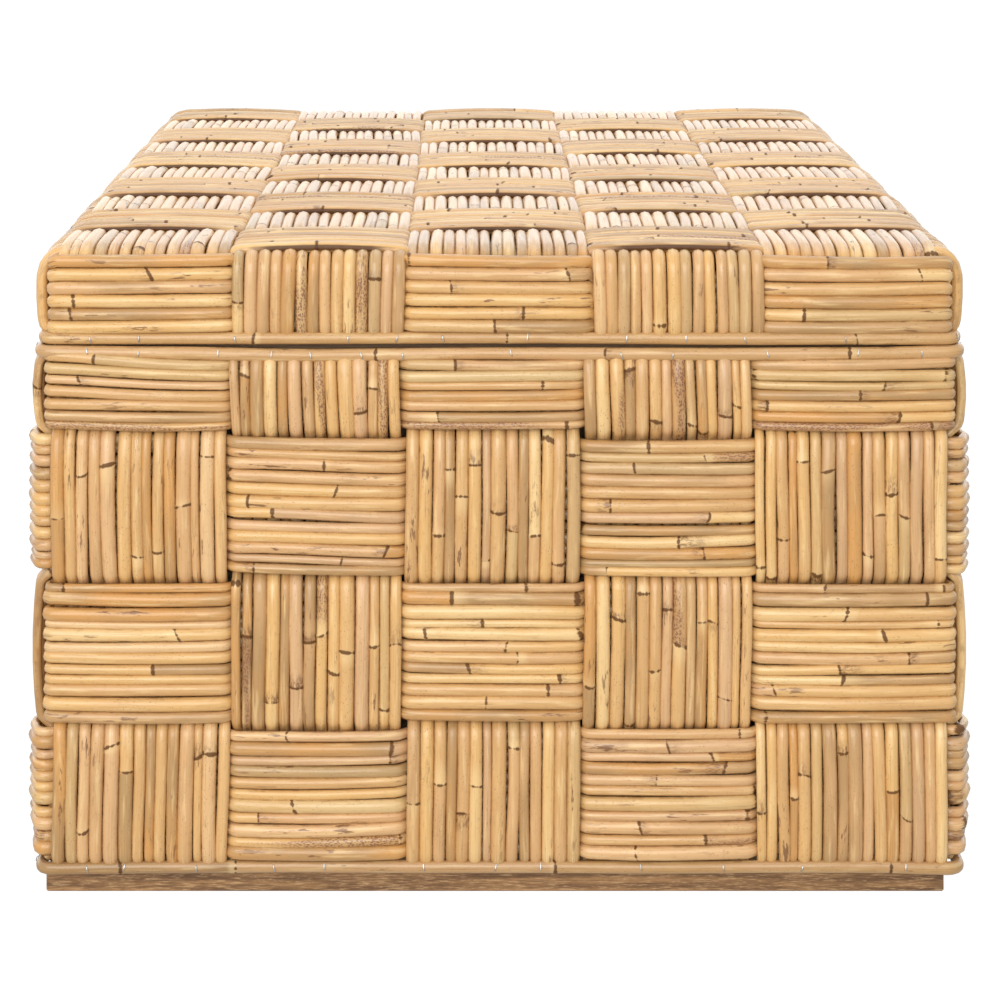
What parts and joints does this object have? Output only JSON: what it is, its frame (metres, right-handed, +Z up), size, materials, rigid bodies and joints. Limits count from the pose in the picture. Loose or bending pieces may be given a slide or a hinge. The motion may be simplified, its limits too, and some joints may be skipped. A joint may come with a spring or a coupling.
{
  "type": "wicker storage trunk",
  "caption": "Rectangular storage trunk of woven rattan bundles over a wooden frame, with a recessed wooden plinth and a hinged lid on folding stays.",
  "frame": {"origin": "on the floor, at the centre of the footprint, under the plinth", "axes": "+Z up; -Y is the short side seen from the front; the lid's hinges are along the long side at +X"},
  "size_m": [0.6194, 0.8132, 0.4241],
  "materials": {
    "rattan_weave": "varnished rattan sticks, satin, mixed honey, tan and reddish tones",
    "rattan_rim": "varnished thick rattan stick, satin",
    "plinth_wood": "stained hardwood, satin",
    "frame_wood": "planed softwood, stained",
    "lining_board": "thin plywood, stained, matt",
    "hinge_steel": "antique brass plated, satin",
    "stay_steel": "plated steel, brushed"
  },
  "bodies": {
    "base": {"plinth_front": "plinth_wood", "plinth_rear": "plinth_wood", "plinth_left": "plinth_wood", "plinth_right": "plinth_wood", "floor_panel": "lining_board", "corner_post_front_left": "frame_wood", "corner_post_front_right": "frame_wood", "corner_post_rear_left": "frame_wood", "corner_post_rear_right": "frame_wood", "bottom_rail_front": "frame_wood", "bottom_rail_rear": "frame_wood", "bottom_rail_left": "frame_wood", "bottom_rail_right": "frame_wood", "top_rail_front": "frame_wood", "top_rail_rear": "frame_wood", "top_rail_left": "frame_wood", "top_rail_right": "frame_wood", "lining_front": "lining_board", "lining_rear": "lining_board", "lining_left": "lining_board", "lining_right": "lining_board", "weft_row_1": "rattan_weave", "weft_row_2": "rattan_weave", "weft_row_3": "rattan_weave", "weft_row_4": "rattan_weave", "warp_front": "rattan_weave", "warp_rear": "rattan_weave", "warp_left": "rattan_weave", "warp_right": "rattan_weave", "bottom_rim": "rattan_rim", "top_rim": "rattan_rim", "hinge_front_body_leaf": "hinge_steel", "hinge_front_pin": "hinge_steel", "stay_front_body_bracket": "stay_steel", "hinge_rear_body_leaf": "hinge_steel", "hinge_rear_pin": "hinge_steel", "stay_rear_body_bracket": "stay_steel"},
    "lid": {"lid_rail_front": "frame_wood", "lid_rail_rear": "frame_wood", "lid_rail_left": "frame_wood", "lid_rail_right": "frame_wood", "lid_board": "lining_board", "lid_weft": "rattan_weave", "lid_long_strands": "rattan_weave", "lid_cross_strands": "rattan_weave", "lid_rim": "rattan_rim", "hinge_front_lid_leaf": "hinge_steel", "stay_front_lid_bracket": "stay_steel", "hinge_rear_lid_leaf": "hinge_steel", "stay_rear_lid_bracket": "stay_steel"},
    "stay_front_lower": {"stay_front_lower_arm": "stay_steel"},
    "stay_front_upper": {"stay_front_upper_arm": "stay_steel"},
    "stay_rear_lower": {"stay_rear_lower_arm": "stay_steel"},
    "stay_rear_upper": {"stay_rear_upper_arm": "stay_steel"}
  },
  "joints": [
    {"name": "lid_hinge", "type": "hinge", "parent": "base", "child": "lid", "pos_m": [0.3095, 0, 0.3631], "axis": [0, 1, 0], "range_deg": [0, 90]},
    {"name": "stay_front_body_pivot", "type": "hinge", "parent": "base", "child": "stay_front_lower", "pos_m": [0.2375, -0.3612, 0.2131], "axis": [0, 1, 0], "range_deg": [0, 90]},
    {"name": "stay_front_lid_pivot", "type": "hinge", "parent": "lid", "child": "stay_front_upper", "pos_m": [0.1395, -0.3587, 0.3811], "axis": [0, 1, 0], "range_deg": [-90, 0]},
    {"name": "stay_rear_body_pivot", "type": "hinge", "parent": "base", "child": "stay_rear_lower", "pos_m": [0.2375, 0.3612, 0.2131], "axis": [0, 1, 0], "range_deg": [0, 90]},
    {"name": "stay_rear_lid_pivot", "type": "hinge", "parent": "lid", "child": "stay_rear_upper", "pos_m": [0.1395, 0.3587, 0.3811], "axis": [0, 1, 0], "range_deg": [-90, 0]}
  ],
  "couplings": [
    {"joint": "stay_front_body_pivot", "follows": "lid_hinge", "ratio": 1},
    {"joint": "stay_front_lid_pivot", "follows": "lid_hinge", "ratio": -1},
    {"joint": "stay_rear_body_pivot", "follows": "lid_hinge", "ratio": 1},
    {"joint": "stay_rear_lid_pivot", "follows": "lid_hinge", "ratio": -1}
  ]
}
